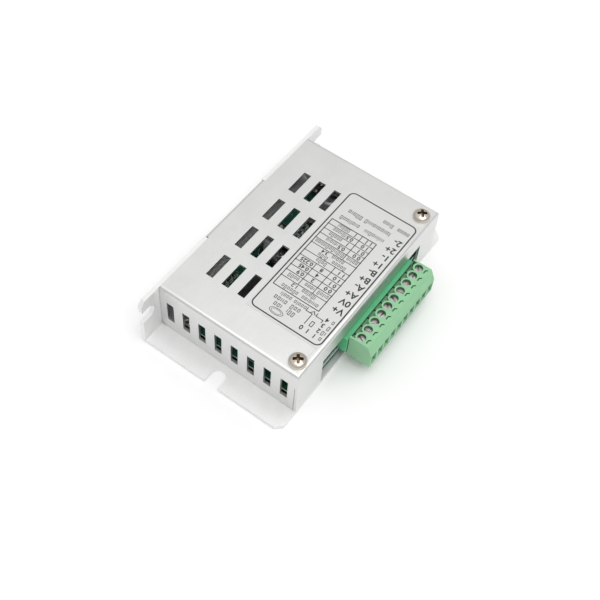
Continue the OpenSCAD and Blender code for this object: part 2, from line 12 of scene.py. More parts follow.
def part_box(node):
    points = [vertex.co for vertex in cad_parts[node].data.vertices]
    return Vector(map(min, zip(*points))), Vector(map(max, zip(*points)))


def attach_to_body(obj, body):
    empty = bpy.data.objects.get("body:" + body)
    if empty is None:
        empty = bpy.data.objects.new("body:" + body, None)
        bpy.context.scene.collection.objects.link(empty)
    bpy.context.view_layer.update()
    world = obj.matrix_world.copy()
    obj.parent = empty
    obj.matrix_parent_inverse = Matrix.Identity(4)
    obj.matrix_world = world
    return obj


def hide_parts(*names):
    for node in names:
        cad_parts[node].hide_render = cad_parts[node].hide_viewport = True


# Sizes below are in millimetres unless a name or comment says otherwise.
MM = 0.001

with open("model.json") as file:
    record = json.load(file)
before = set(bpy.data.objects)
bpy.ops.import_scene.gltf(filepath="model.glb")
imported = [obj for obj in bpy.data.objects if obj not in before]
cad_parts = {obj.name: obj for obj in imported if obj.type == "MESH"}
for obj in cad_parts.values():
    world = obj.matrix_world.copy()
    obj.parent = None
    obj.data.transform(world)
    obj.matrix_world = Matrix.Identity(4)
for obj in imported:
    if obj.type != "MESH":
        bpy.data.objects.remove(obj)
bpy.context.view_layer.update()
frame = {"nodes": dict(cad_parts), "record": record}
BODY_OF = {node: body for body, nodes in frame["record"]["behaviour"]["bodies"].items() for node in nodes}
SLOT_OF = {part["node"]: part["material_slot"] for part in frame["record"]["subparts"]}
POLES = sum(name.startswith("clamp_screw_") for name in frame["nodes"])

# ---- Camera: its place in metres, its directions and its lens in millimetres ----

CAMERA_AT = Vector((-0.16692, -0.10075, 0.28177))
CAMERA_RIGHT = Vector((0.58355, -0.81018, 0.05547))
CAMERA_UP = Vector((0.65631, 0.51075, 0.55533))
CAMERA_LENS = 59.57
SENSOR = 36.0


def make_camera():
    """Camera with its right and up directions squared to each other."""
    data = bpy.data.cameras.new("camera")
    data.lens = CAMERA_LENS
    data.sensor_width = SENSOR
    data.clip_start = 0.01
    data.clip_end = 20
    camera = new_object("camera", data)
    back = CAMERA_RIGHT.cross(CAMERA_UP).normalized()
    up = back.cross(CAMERA_RIGHT).normalized()
    turn = Matrix((CAMERA_RIGHT.normalized(), up, back)).transposed().to_4x4()
    camera.matrix_world = Matrix.Translation(CAMERA_AT) @ turn
    bpy.context.scene.camera = camera


# ---- Material helpers ----

def fill_ramp(node, stops):
    """Sets a colour ramp node's stops to (place, colour) pairs."""
    elements = node.color_ramp.elements
    while len(elements) < len(stops):
        elements.new(0.5)
    for element, (place, colour) in zip(elements, stops):
        element.position = place
        element.color = (*colour, 1)


class Nodes:
    """A small wrapper that adds nodes to one material and links them."""

    def __init__(self, name):
        self.material = bpy.data.materials.new(name)
        self.material.use_nodes = True
        self.tree = self.material.node_tree
        self.shader = self.tree.nodes["Principled BSDF"]
        self.position = self.add("ShaderNodeTexCoord").outputs["Object"]

    def add(self, kind, **values):
        node = self.tree.nodes.new(kind)
        for key, value in values.items():
            setattr(node, key, value)
        return node

    def link(self, output, target):
        self.tree.links.new(output, target)

    def stretched(self, scale):
        mapping = self.add("ShaderNodeMapping")
        mapping.inputs["Scale"].default_value = scale
        self.link(self.position, mapping.inputs["Vector"])
        return mapping.outputs["Vector"]

    def noise(self, size, detail=3.0, roughness=0.5, stretch=(1, 1, 1)):
        """Noise whose features are about `size` millimetres across."""
        node = self.add("ShaderNodeTexNoise")
        node.inputs["Scale"].default_value = 1 / (size * MM)
        node.inputs["Detail"].default_value = detail
        node.inputs["Roughness"].default_value = roughness
        self.link(self.stretched(stretch), node.inputs["Vector"])
        return node.outputs["Fac"]

    def openness(self, reach):
        """Near 1 on open faces and less where other surfaces stand within `reach` millimetres."""
        node = self.add("ShaderNodeAmbientOcclusion", samples=6)
        node.inputs["Distance"].default_value = reach * MM
        return node.outputs["AO"]

    def ramp(self, value, stops):
        """Colour ramp through (place, colour) stops."""
        node = self.add("ShaderNodeValToRGB")
        fill_ramp(node, stops)
        self.link(value, node.inputs["Fac"])
        return node.outputs["Color"]

    def range(self, value, low, high, start=0.3, end=0.7):
        """Maps values from start to end onto values from low to high, and holds them there."""
        node = self.add("ShaderNodeMapRange")
        node.inputs["From Min"].default_value = start
        node.inputs["From Max"].default_value = end
        node.inputs["To Min"].default_value = low
        node.inputs["To Max"].default_value = high
        self.link(value, node.inputs["Value"])
        return node.outputs["Result"]

    def math(self, operation, a, b):
        node = self.add("ShaderNodeMath", operation=operation)
        for socket, value in zip(node.inputs, (a, b)):
            if isinstance(value, (int, float)):
                socket.default_value = value
            else:
                self.link(value, socket)
        return node.outputs["Value"]

    def mix(self, factor, a, b, blend="MIX"):
        node = self.add("ShaderNodeMix", data_type="RGBA", blend_type=blend)
        for name, value in (("Factor", factor), ("A", a), ("B", b)):
            socket = node.inputs[name]
            if isinstance(value, tuple):
                socket.default_value = (*value, 1)
            elif isinstance(value, (int, float)):
                socket.default_value = value
            else:
                self.link(value, socket)
        return node.outputs["Result"]

    def colour(self, output):
        self.link(output, self.shader.inputs["Base Color"])

    def rough(self, output):
        self.link(output, self.shader.inputs["Roughness"])

    def bump(self, height, depth):
        """Relief of `depth` millimetres."""
        node = self.add("ShaderNodeBump")
        node.inputs["Distance"].default_value = depth * MM
        self.link(height, node.inputs["Height"])
        self.link(node.outputs["Normal"], self.shader.inputs["Normal"])

    def set(self, **values):
        for key, value in values.items():
            self.shader.inputs[key.replace("_", " ")].default_value = value


def grey(level):
    return (level,) * 3


WHITE = grey(1.0)


def shade(colour, factor):
    return tuple(min(1.0, channel * factor) for channel in colour)


def varied(name, colour, rough, metal=0.0, grain=0.3, spread=0.05, rough_spread=0.06, depth=0.004,
           stretch=(1, 1, 1), broad=6.0, **values):
    """Surface with a fine grain in colour and relief, and broad patches in colour and gloss."""
    n = Nodes(name)
    fine = n.noise(grain, 4.0, 0.6, stretch)
    patches = n.noise(broad, 3.0, 0.55)
    base = n.ramp(fine, [(0.3, shade(colour, 1 - spread)), (0.7, shade(colour, 1 + spread))])
    tint = n.ramp(patches, [(0.35, grey(1 - spread / 2)), (0.65, WHITE)])
    n.colour(n.mix(1.0, base, tint, "MULTIPLY"))
    blend = n.math("ADD", n.math("MULTIPLY", fine, 0.5), n.math("MULTIPLY", patches, 0.5))
    n.rough(n.range(blend, rough - rough_spread, rough + rough_spread))
    n.bump(fine, depth)
    n.set(Metallic=metal, **values)
    return n.material


# ---- Materials ----

def anodised(name, colour, rough, grain_depth, metal):
    """Matte anodised aluminium: fine sparkling grain, faint rolling lines, a few handling marks."""
    n = Nodes(name)
    sparkle = n.noise(0.16, 2.0, 0.7)
    cloud = n.noise(9.0, 4.0, 0.55)
    rolling = n.noise(0.5, 3.0, 0.6, (0.03, 1.0, 1.0))
    scuffs = n.noise(2.2, 6.0, 0.75, (1.0, 0.25, 1.0))
    base = n.ramp(sparkle, [(0.25, shade(colour, 0.91)), (0.5, colour), (0.78, shade(colour, 1.07))])
    base = n.mix(1.0, base, n.ramp(cloud, [(0.3, (0.965, 0.967, 0.97)), (0.7, WHITE)]), "MULTIPLY")
    base = n.mix(1.0, base, n.ramp(rolling, [(0.35, grey(0.985)), (0.65, WHITE)]), "MULTIPLY")
    n.colour(base)
    gloss = n.math("ADD", n.math("MULTIPLY", sparkle, 0.55), n.math("MULTIPLY", cloud, 0.45))
    worn = n.range(scuffs, 0.0, 0.07, 0.62, 0.75)
    n.rough(n.math("SUBTRACT", n.range(gloss, rough - 0.05, rough + 0.07), worn))
    relief = n.math("ADD", n.math("MULTIPLY", sparkle, 0.8), n.math("MULTIPLY", rolling, 0.35))
    n.bump(relief, grain_depth)
    n.set(Metallic=metal)
    return n.material


# Reach, in millimetres, of the painted shade in the moulded parts' recesses.
PAINTED_SHADE_REACH = 3.5


def moulded(name, colour, rough, glow, depth=0.006, recess_shade=0.35):
    """Moulded thermoplastic: satin spark-eroded texture, faint flow marks, and painted shade that darkens the
    colour in recesses.
    """
    n = Nodes(name)
    texture = n.noise(0.12, 3.0, 0.6)
    flow = n.noise(3.0, 3.0, 0.5, (0.5, 1.0, 1.6))
    base = n.ramp(flow, [(0.3, shade(colour, 0.95)), (0.7, shade(colour, 1.04))])
    base = n.mix(1.0, base, n.ramp(texture, [(0.2, grey(0.97)), (0.8, WHITE)]), "MULTIPLY")
    # Painted shade: the colour darkens by the recess factor where other surfaces stand close, as if in
    # shadow.
    n.colour(n.mix(n.range(n.openness(PAINTED_SHADE_REACH), 0.0, 1.0, 0.35, 0.85), shade(colour, recess_shade), base))
    n.rough(n.range(texture, rough - 0.06, rough + 0.08))
    n.bump(texture, depth)
    n.set(Subsurface_Weight=glow, Subsurface_Radius=(0.6, 1.0, 0.6), Subsurface_Scale=0.0012)
    return n.material


def solder_mask():
    """Dark green solder mask: glass weave just showing, gloss that pools unevenly."""
    n = Nodes("solder_mask")
    weave_x = n.noise(0.45, 1.0, 0.4, (0.25, 1.0, 1.0))
    weave_y = n.noise(0.45, 1.0, 0.4, (1.0, 0.25, 1.0))
    weave = n.math("MULTIPLY", weave_x, weave_y)
    pooling = n.noise(4.0, 3.0, 0.5)
    green = n.ramp(weave, [(0.12, (0.010, 0.110, 0.078)), (0.42, (0.020, 0.175, 0.125))])
    n.colour(n.mix(1.0, green, n.ramp(pooling, [(0.3, grey(0.85)), (0.7, WHITE)]), "MULTIPLY"))
    n.rough(n.range(pooling, 0.22, 0.36))
    n.bump(weave, 0.01)
    n.set(Coat_Weight=0.3, Coat_Roughness=0.15)
    return n.material


def laminate_edge():
    """Sawn edge of the board: dark masked laminate with its layer lines, darkened nearly to black by painted
    shade.
    """
    n = Nodes("laminate_edge")
    layers = n.noise(0.22, 2.0, 0.5, (0.05, 0.05, 1.0))
    fibres = n.noise(0.15, 4.0, 0.7)
    # Painted shade: these near-black colours stand in for the edge lying in shadow.
    dark = n.ramp(layers, [(0.35, (0.006, 0.020, 0.016)), (0.6, (0.016, 0.050, 0.038))])
    n.colour(n.mix(1.0, dark, n.ramp(fibres, [(0.3, grey(0.8)), (0.7, WHITE)]), "MULTIPLY"))
    n.rough(n.range(fibres, 0.5, 0.75))
    n.bump(fibres, 0.012)
    return n.material


def label_film():
    """Printed film: satin, with a slight orange peel and a fine grain."""
    n = Nodes("label_film")
    peel = n.noise(0.7, 3.0, 0.5)
    grain = n.noise(0.2, 2.0, 0.7)
    base = n.ramp(grain, [(0.25, (0.65, 0.655, 0.64)), (0.75, (0.73, 0.735, 0.72))])
    n.colour(n.mix(1.0, base, n.ramp(peel, [(0.3, grey(0.97)), (0.7, WHITE)]), "MULTIPLY"))
    n.rough(n.range(peel, 0.40, 0.52))
    n.bump(n.math("ADD", n.math("MULTIPLY", peel, 0.7), n.math("MULTIPLY", grain, 0.3)), 0.006)
    n.set(Metallic=0.45)
    return n.material


def floor_paper():
    """Plain pale paper with faint broad clouds."""
    n = Nodes("floor_paper")
    n.colour(n.ramp(n.noise(40.0), [(0.3, grey(0.93)), (0.7, grey(0.95))]))
    n.set(Roughness=0.9)
    return n.material


MATERIALS = {}


def make_materials():
    MATERIALS.update({
        "floor_paper": floor_paper(),
        "bracket_metal": anodised("anodised_bracket", (0.86, 0.86, 0.855), 0.42, 0.007, 0.3),
        "cover_metal": anodised("anodised_cover", (0.775, 0.78, 0.77), 0.42, 0.007, 1.0),
        "label_film": label_film(),
        "label_ink": varied("label_ink", (0.022, 0.022, 0.024), 0.5, grain=0.15, spread=0.25, depth=0.003),
        "board_laminate": solder_mask(),
        "laminate_edge": laminate_edge(),
        "bare_rim": varied("bare_rim", (0.70, 0.90, 0.80), 0.5, grain=0.2, spread=0.12, depth=0.006),
        "track_copper": varied("masked_track", (0.012, 0.19, 0.115), 0.28, grain=0.4, spread=0.12),
        "silk_ink": varied("silk_ink", (0.72, 0.74, 0.70), 0.6, grain=0.2, spread=0.10),
        "solder": varied("solder", (0.72, 0.72, 0.70), 0.28, 1.0, grain=0.35, spread=0.10, rough_spread=0.1),
        "standoff_metal": varied("zinc_plate", (0.60, 0.60, 0.58), 0.32, 1.0, grain=0.3, spread=0.07),
        "screw_metal": varied("bright_nickel", (0.66, 0.60, 0.53), 0.17, 1.0, grain=0.5, spread=0.05,
                              rough_spread=0.06, depth=0.003),
        # The screws' cross recesses: a dark brown metal that is painted shade with a painted brown
        # reflection.
        "screw_recess_painted_shade": varied("screw_recess_painted_shade", (0.30, 0.215, 0.14), 0.3, 1.0, grain=0.3, spread=0.15),
        "post_brass": varied("turned_brass", (0.72, 0.56, 0.28), 0.28, 1.0, grain=0.25, spread=0.08,
                             stretch=(1, 1, 8)),
        # The last figure sets how dark the painted shade is in each green's recesses.
        "header_plastic": moulded("header_green", (0.12, 0.58, 0.27), 0.36, 0.1, recess_shade=0.6),
        "plug_plastic": moulded("plug_green", (0.27, 0.56, 0.315), 0.44, 0.12, recess_shade=0.22),
        "tinned_metal": varied("tinned", (0.74, 0.73, 0.69), 0.30, 1.0, grain=0.3, spread=0.08),
        "clamp_metal": varied("zinc_screw", (0.60, 0.585, 0.57), 0.30, 1.0, grain=0.25, spread=0.12,
                              rough_spread=0.1, depth=0.008),
        "cage_metal": varied("nickelled_cage", (0.66, 0.63, 0.55), 0.33, 1.0, grain=0.3, spread=0.1),
        "black_plastic": moulded("switch_black", (0.022, 0.022, 0.024), 0.42, 0.0),
        "slider_plastic": moulded("slider_white", (0.78, 0.78, 0.75), 0.4, 0.1),
        "lamp_resin": varied("lamp_red", (0.42, 0.015, 0.012), 0.12, grain=2.0, spread=0.15, depth=0.001,
                             Transmission_Weight=0.35, IOR=1.5, Coat_Weight=0.4),
        "capacitor_sleeve": varied("black_sleeve", (0.014, 0.014, 0.017), 0.30, grain=1.2, spread=0.25,
                                   depth=0.012, Coat_Weight=0.25, Coat_Roughness=0.2),
        "sleeve_stripe": varied("sleeve_stripe", (0.44, 0.45, 0.46), 0.34, grain=1.0, spread=0.1),
        # Can tops: the aluminium's grey is lowered to a painted dark reflection of the surroundings, a
        # painted shade.
        "can_top": varied("pressed_aluminium_painted_shade", (0.48, 0.48, 0.48), 0.25, 1.0, grain=0.25, spread=0.08,
                          rough_spread=0.1, stretch=(1, 3, 1)),
        "chip_resin": varied("chip_epoxy", (0.026, 0.026, 0.028), 0.55, grain=0.15, spread=0.3, depth=0.008),
        "pad_rubber": varied("thermal_pad", (0.26, 0.32, 0.38), 0.75, grain=0.3, spread=0.15, depth=0.02),
        "chip_ceramic": varied("chip_ceramic", (0.055, 0.05, 0.045), 0.42, grain=0.3, spread=0.3),
        "crystal_can": varied("crystal_can", (0.72, 0.72, 0.72), 0.24, 1.0, grain=0.6, spread=0.06),
    })


# ---- Mesh helpers ----

def new_object(name, data):
    obj = bpy.data.objects.new(name, data)
    bpy.context.scene.collection.objects.link(obj)
    return obj


def finish_mesh(name, bm, material, sharp=35):
    """Turns a bmesh into an object with smooth faces and sharp creases."""
    bmesh.ops.recalc_face_normals(bm, faces=bm.faces)
    for face in bm.faces:
        face.smooth = True
    mesh = bpy.data.meshes.new(name)
    bm.to_mesh(mesh)
    bm.free()
    mesh.set_sharp_from_angle(angle=math.radians(sharp))
    obj = new_object(name, mesh)
    mesh.materials.append(MATERIALS[material])
    return obj


def attach(obj, body, slot, *replaced):
    """Makes an object ride a body in place of the CAD nodes it replaces; its slot argument is not used."""
    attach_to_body(obj, body)
    if replaced:
        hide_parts(*replaced)


def add_bevel(obj, width, angle=38):
    """Rounds the sharp edges by `width` millimetres and keeps the flat faces flat in shading."""
    bevel = obj.modifiers.new("edge_rounding", "BEVEL")
    bevel.width = width * MM
    bevel.segments = 2
    bevel.limit_method = "ANGLE"
    bevel.angle_limit = math.radians(angle)
    bevel.use_clamp_overlap = True
    bevel.miter_outer = "MITER_ARC"
    normals = obj.modifiers.new("flat_faces", "WEIGHTED_NORMAL")
    normals.keep_sharp = True
    normals.weight = 100


def clean_copy(node):
    """The CAD node's shape with welded corners and its flat triangles joined in pairs."""
    bm = bmesh.new()
    bm.from_mesh(frame["nodes"][node].data)
    bmesh.ops.remove_doubles(bm, verts=bm.verts, dist=0.002 * MM)
    bmesh.ops.join_triangles(bm, faces=bm.faces, angle_face_threshold=math.radians(0.5),
                             angle_shape_threshold=math.pi)
    return bm


def soften(node, width):
    """Puts a skin in place of a CAD node: the same shape with its edges rounded."""
    skin = finish_mesh(node + "_skin", clean_copy(node), SLOT_OF[node])
    add_bevel(skin, width)
    attach(skin, BODY_OF[node], SLOT_OF[node], node)


def lumps(node):
    """Boxes (low, high), in millimetres, round each separate lump of a CAD node."""
    bm = clean_copy(node)
    left = set(bm.verts)
    boxes = []
    while left:
        front = [left.pop()]
        lump = list(front)
        while front:
            for edge in front.pop().link_edges:
                for vert in edge.verts:
                    if vert in left:
                        left.remove(vert)
                        front.append(vert)
                        lump.append(vert)
        places = [vert.co / MM for vert in lump]
        boxes.append((Vector(map(min, zip(*places))), Vector(map(max, zip(*places)))))
    bm.free()
    return sorted(boxes, key=lambda box: tuple(round(value, 2) for value in box[0]))


ROUND_STEPS = 64


def oval(x, y, half_x, half_y, steps=40):
    """Points round an ellipse with the given half widths."""
    return [(x + half_x * math.cos(math.tau * k / steps), y + half_y * math.sin(math.tau * k / steps))
            for k in range(steps)]


def circle(x, y, radius, steps=32):
    return oval(x, y, radius, radius, steps)


def lathe(bm, profile, centre, face_slot=None):
    """Turns a profile of (radius, height) points, in millimetres, round a vertical axis.

    A profile that is closed at both ends makes a closed shape. `face_slot` gives a face's material
    slot from its level in the profile and its share of a turn.
    """
    x, y, z = centre
    rings = []
    for radius, height in profile:
        if radius == 0:
            rings.append([bm.verts.new(Vector((x, y, z + height)) * MM)])
            continue
        rings.append([bm.verts.new(Vector((*point, z + height)) * MM)
                      for point in circle(x, y, radius, ROUND_STEPS)])
    for level, (low, high) in enumerate(zip(rings, rings[1:])):
        for k in range(ROUND_STEPS):
            after = (k + 1) % ROUND_STEPS
            corners = [low[k % len(low)], low[after % len(low)], high[after % len(high)], high[k % len(high)]]
            face = bm.faces.new(list(dict.fromkeys(corners)))
            if face_slot:
                face.material_index = face_slot(level, k / ROUND_STEPS)


def prism(bm, outline, low, high, hole=None, slot=0):
    """Closed plate over an outline of (x, y) points, with a hole of as many points if wanted."""
    loops = [[bm.verts.new(Vector((x, y, z)) * MM) for x, y in points]
             for points in ([outline, hole] if hole else [outline]) for z in (low, high)]
    faces = []
    count = len(outline)
    for floor, roof in zip(loops[::2], loops[1::2]):
        faces += [(floor[k], floor[(k + 1) % count], roof[(k + 1) % count], roof[k]) for k in range(count)]
    if hole:
        for outer, inner in zip(loops[:2], loops[2:]):
            faces += [(outer[k], outer[(k + 1) % count], inner[(k + 1) % count], inner[k])
                      for k in range(count)]
    else:
        faces += loops[:2]
    for corners in faces:
        bm.faces.new(corners).material_index = slot


def rounded_outline(x, y, radius, steps=6):
    """Rectangle between two x and two y values, with its corners rounded."""
    corners = [(x[1] - radius, y[1] - radius), (x[0] + radius, y[1] - radius),
               (x[0] + radius, y[0] + radius), (x[1] - radius, y[0] + radius)]
    turns = [(corner, math.pi / 2 * (corner + k / steps)) for corner in range(4) for k in range(steps + 1)]
    return [(corners[corner][0] + radius * math.cos(turn), corners[corner][1] + radius * math.sin(turn))
            for corner, turn in turns]


def carve(obj, bm, material):
    """Cuts the closed shapes in `bm` out of an object for good; the cut faces get the material."""
    cutter = finish_mesh("cutter", bm, material)
    cut = obj.modifiers.new("carve", "BOOLEAN")
    cut.object = cutter
    cut.operation = "DIFFERENCE"
    cut.solver = "EXACT"
    cut.use_self = True
    cut.material_mode = "TRANSFER"
    bpy.context.view_layer.update()
    carved = bpy.data.meshes.new_from_object(obj.evaluated_get(bpy.context.evaluated_depsgraph_get()))
    obj.modifiers.remove(cut)
    obj.data = carved
    bpy.data.objects.remove(cutter)


def dress_cad_nodes():
    """Every CAD node that stays gets its slot's material."""
    for name, obj in frame["nodes"].items():
        obj.data.materials.clear()
        obj.data.materials.append(MATERIALS[SLOT_OF[name]])


# ---- Skins over the CAD nodes ----

SKIN_EDGES = {"base_bracket": 0.14, "cover": 0.10, "header_housing": 0.15, "plug_housing": 0.12,
              "dip_switch_body": 0.12, "logic_chip": 0.08, "optocouplers": 0.12, "driver_chip": 0.06,
              "voltage_regulator": 0.1, "supply_diode": 0.1, "crystal": 0.5, "label": 0.03}
CLAMP_SCREW_EDGE, SLIDER_EDGE = 0.07, 0.1
SCREW_EDGE = CHIP_EDGE = 0.06


def make_skins():
    for node, width in SKIN_EDGES.items():
        soften(node, width)
    for pole in range(1, POLES + 1):
        soften(f"clamp_screw_{pole}", CLAMP_SCREW_EDGE)
    for name in frame["nodes"]:
        if name.startswith("dip_slider_"):
            soften(name, SLIDER_EDGE)


# ---- Screws ----

SHANK_D = 2.9
CHAMFER = 0.3
DOME_STEPS = 12
RIM_SHARE = 0.24
CROSS_REACH, CROSS_WIDTH, CROSS_DEPTH = 1.3, 0.36, 0.8
CUTTER_RISE = 0.6
COVER_SCREW_HEAD, COVER_SCREW_TURN = 2.05, math.radians(35)
BOARD_SCREW_HEAD, BOARD_SCREW_TURN = 1.9, math.radians(10)


def cross_recess(bm, centre, reach, width, top, depth, turn):
    """Two crossed tapering slots, narrower and shorter at the bottom."""
    for quarter in (turn, turn + math.pi / 2):
        ends = []
        for height, shrink in ((top + CUTTER_RISE, 1.12), (top - depth, 0.5)):
            for along, across in ((-1, -1), (1, -1), (1, 1), (-1, 1)):
                x, y = along * reach / 2 * shrink, across * width / 2 * (0.45 + 0.55 * shrink)
                ends.append(bm.verts.new(Vector((centre[0] + x * math.cos(quarter) - y * math.sin(quarter),
                                                 centre[1] + x * math.sin(quarter) + y * math.cos(quarter),
                                                 centre[2] + height)) * MM))
        roof, floor = ends[:4], ends[4:]
        bm.faces.new(roof)
        bm.faces.new(floor)
        for k in range(4):
            bm.faces.new((roof[k], roof[(k + 1) % 4], floor[(k + 1) % 4], floor[k]))


def make_screws(node, head_h, turn):
    """Domed machine screws with a tapered cross recess, one for each in the CAD node."""
    bm = bmesh.new()
    recesses = bmesh.new()
    for low, high in lumps(node):
        middle = (low + high) / 2
        head_r = (high.x - low.x) / 2
        seat = (middle.x, middle.y, high.z - head_h)
        length = high.z - head_h - low.z
        rim = head_h * RIM_SHARE
        rises = [math.pi / 2 * k / DOME_STEPS for k in range(DOME_STEPS)]
        dome = [(head_r * math.cos(rise), rim + (head_h - rim) * math.sin(rise)) for rise in rises]
        shank_r = SHANK_D / 2
        lathe(bm, [(0, -length), (shank_r - CHAMFER, -length), (shank_r, CHAMFER - length), (shank_r, 0),
                   (head_r - 0.12, 0), (head_r, 0.12), *dome, (0, head_h)], seat)
        cross_recess(recesses, seat, head_r * CROSS_REACH, head_r * CROSS_WIDTH, head_h,
                     head_h * CROSS_DEPTH, turn)
    screws = finish_mesh(node + "_made", bm, "screw_metal", 40)
    # The recess faces take the dark brown metal of painted shade and painted reflection.
    carve(screws, recesses, "screw_recess_painted_shade")
    add_bevel(screws, SCREW_EDGE, 30)
    attach(screws, BODY_OF[node], "screw_metal", node)


# ---- Capacitors ----

SLEEVE, CAN_TOP, STRIPE = range(3)
STRIPE_SHARE = (0.44, 0.62)
SLEEVE_FOOT_LEVELS = 2
GROOVE_FOOT, GROOVE_HEIGHT, GROOVE_DEPTH = 1.1, 1.2, 0.36
SHOULDER_R = 0.55
TOP_SINK, SCORE_SINK = 0.22, 0.42
SCORE_HALF_WIDTH, SCORE_END_GAP = 0.14, 1.5


def can_profile(radius, height):
    """Outline of a can from its foot: sleeve with a rolled groove, curled edge, sunk top."""
    groove = [(radius - GROOVE_DEPTH * math.sin(math.pi * k / 6), GROOVE_FOOT + GROOVE_HEIGHT * k / 6)
              for k in range(7)]
    shoulder = [(radius - SHOULDER_R * (1 - math.cos(math.pi / 2 * k / 5)),
                 height - SHOULDER_R * (1 - math.sin(math.pi / 2 * k / 5))) for k in range(6)]
    lip = [(radius - 0.95, height), (radius - 1.02, height - 0.06), (radius - 1.05, height - TOP_SINK)]
    return [(0, 0), (radius - 0.4, 0), (radius, 0.4), *groove, *shoulder, *lip, (0, height - TOP_SINK)]


def score_top(scores, centre, radius, top, turn):
    """Two crossed grooves for a can's top, as closed shapes to cut with."""
    for k in range(2):
        along = math.pi / 2 * k + turn
        reach = Vector((math.cos(along), math.sin(along))) * (radius - SCORE_END_GAP)
        across = Vector((-reach.y, reach.x)).normalized() * SCORE_HALF_WIDTH
        outline = [tuple(centre + a * reach + b * across) for a, b in ((-1, -1), (1, -1), (1, 1), (-1, 1))]
        prism(scores, outline, top - SCORE_SINK, top)


def make_capacitors(node, turn):
    """Sleeved cans with a scored top and a pale stripe.

    `turn` moves the stripe by that share of a turn and the scoring by as many radians.
    """
    bm = bmesh.new()
    scores = bmesh.new()
    for low, high in lumps(node):
        radius, height = (high.x - low.x) / 2, high.z - low.z
        base = ((low.x + high.x) / 2, (low.y + high.y) / 2, low.z)
        profile = can_profile(radius, height)
        last = len(profile) - 2

        def face_slot(level, share):
            if level == last:
                return CAN_TOP
            striped = STRIPE_SHARE[0] <= (share + turn) % 1 < STRIPE_SHARE[1]
            return STRIPE if striped and level > SLEEVE_FOOT_LEVELS else SLEEVE

        lathe(bm, profile, base, face_slot)
        score_top(scores, Vector(base[:2]), radius, base[2] + height, turn)
    cans = finish_mesh(node + "_made", bm, "capacitor_sleeve", 40)
    for extra in ("can_top", "sleeve_stripe"):
        cans.data.materials.append(MATERIALS[extra])
    carve(cans, scores, "can_top")
    attach(cans, BODY_OF[node], "capacitor_sleeve", node)


# ---- Chip parts with plated ends ----

CHIP_BODY, CHIP_END = range(2)
END_SHARE = 0.2
BODY_INSET = Vector((0.03, 0.03, 0.03))


def brick(bm, low, high, slot):
    prism(bm, [(low.x, low.y), (high.x, low.y), (high.x, high.y), (low.x, high.y)], low.z, high.z, slot=slot)


def make_chips(node):
    """Small bricks with solder-coated ends, in place of a CAD node of plain bricks."""
    bm = bmesh.new()
    for low, high in lumps(node):
        along = 1 if high.y - low.y > high.x - low.x else 0
        end = (high[along] - low[along]) * END_SHARE
        brick(bm, low + BODY_INSET, high - BODY_INSET, CHIP_BODY)
        near_top, far_foot = high.copy(), low.copy()
        near_top[along] = low[along] + end
        far_foot[along] = high[along] - end
        brick(bm, low, near_top, CHIP_END)
        brick(bm, far_foot, high, CHIP_END)
    chips = finish_mesh(node + "_made", bm, SLOT_OF[node])
    chips.data.materials.append(MATERIALS["solder"])
    add_bevel(chips, CHIP_EDGE)
    attach(chips, BODY_OF[node], SLOT_OF[node], node)


# ---- Flat print: the label and the board's legend ----

CAP_SHARE = 0.70
QUARTER_LEFT = Matrix.Rotation(math.pi / 2, 4, "Z")


class Print:
    """Thin closed strokes on one plane, gathered into one mesh. Lines of print run along +Y."""

    def __init__(self, surface, thickness=0.02):
        self.bm = bmesh.new()
        self.low, self.high = surface - 0.01, surface + thickness
        self.texts = []

    def plate(self, outline, hole=None):
        prism(self.bm, outline, self.low, self.high, hole)

    def stroke(self, start, end, width):
        start, end = Vector(start), Vector(end)
        along = (end - start).normalized() * width / 2
        across = Vector((-along.y, along.x))
        corners = (start - along - across, end + along - across, end + along + across, start - along + across)
        self.plate([tuple(corner) for corner in corners])

    def lines(self, points, width):
        for start, end in zip(points, points[1:]):
            self.stroke(start, end, width)

    def frame(self, x, y, radius, width):
        inner = [(x[0] + width, x[1] - width), (y[0] + width, y[1] - width)]
        self.plate(rounded_outline(x, y, radius), rounded_outline(*inner, radius - width))

    def ring(self, x, y, radius, width):
        self.plate(circle(x, y, radius), circle(x, y, radius - width))

    def text(self, words, x, y, height, weight=0.06):
        """Figures and signs standing on the line x, starting at y, thickened by `weight`."""
        curve = bpy.data.curves.new("figures", "FONT")
        curve.body = words
        curve.size = height / CAP_SHARE * MM
        curve.extrude = (self.high - self.low) / 2 * MM
        curve.offset = weight * MM
        curve.resolution_u = 3
        text = new_object("figures", curve)
        middle = (self.low + self.high) / 2
        text.matrix_world = Matrix.Translation(Vector((x, y, middle)) * MM) @ QUARTER_LEFT
        self.texts.append(text)

    def word(self, rng, x, y, height):
        """A stand-in for a printed word on the line x: blank boxes and uprights from y[0] to y[1]."""
        pen, wide, gap = height * 0.13, height * 0.4, height * 0.4
        place = y[0]
        while place + wide < y[1]:
            rise = height * rng.choice((0.7, 0.7, 1.0))
            if rng.random() < 0.7:
                self.lines([(x, place), (x - rise, place), (x - rise, place + wide), (x, place + wide),
                            (x, place)], pen)
                place += wide
            else:
                self.stroke((x, place), (x - rise, place), pen)
            place += gap

    def finish(self, name, material):
        """Joins the figures to the strokes and makes one object of them."""
        bpy.context.view_layer.update()
        graph = bpy.context.evaluated_depsgraph_get()
        for text in self.texts:
            mesh = bpy.data.meshes.new_from_object(text.evaluated_get(graph))
            mesh.transform(text.matrix_world)
            self.bm.from_mesh(mesh)
            bpy.data.meshes.remove(mesh)
            bpy.data.objects.remove(text)
        for face in self.bm.faces:
            face.material_index = 0
        return finish_mesh(name, self.bm, material)


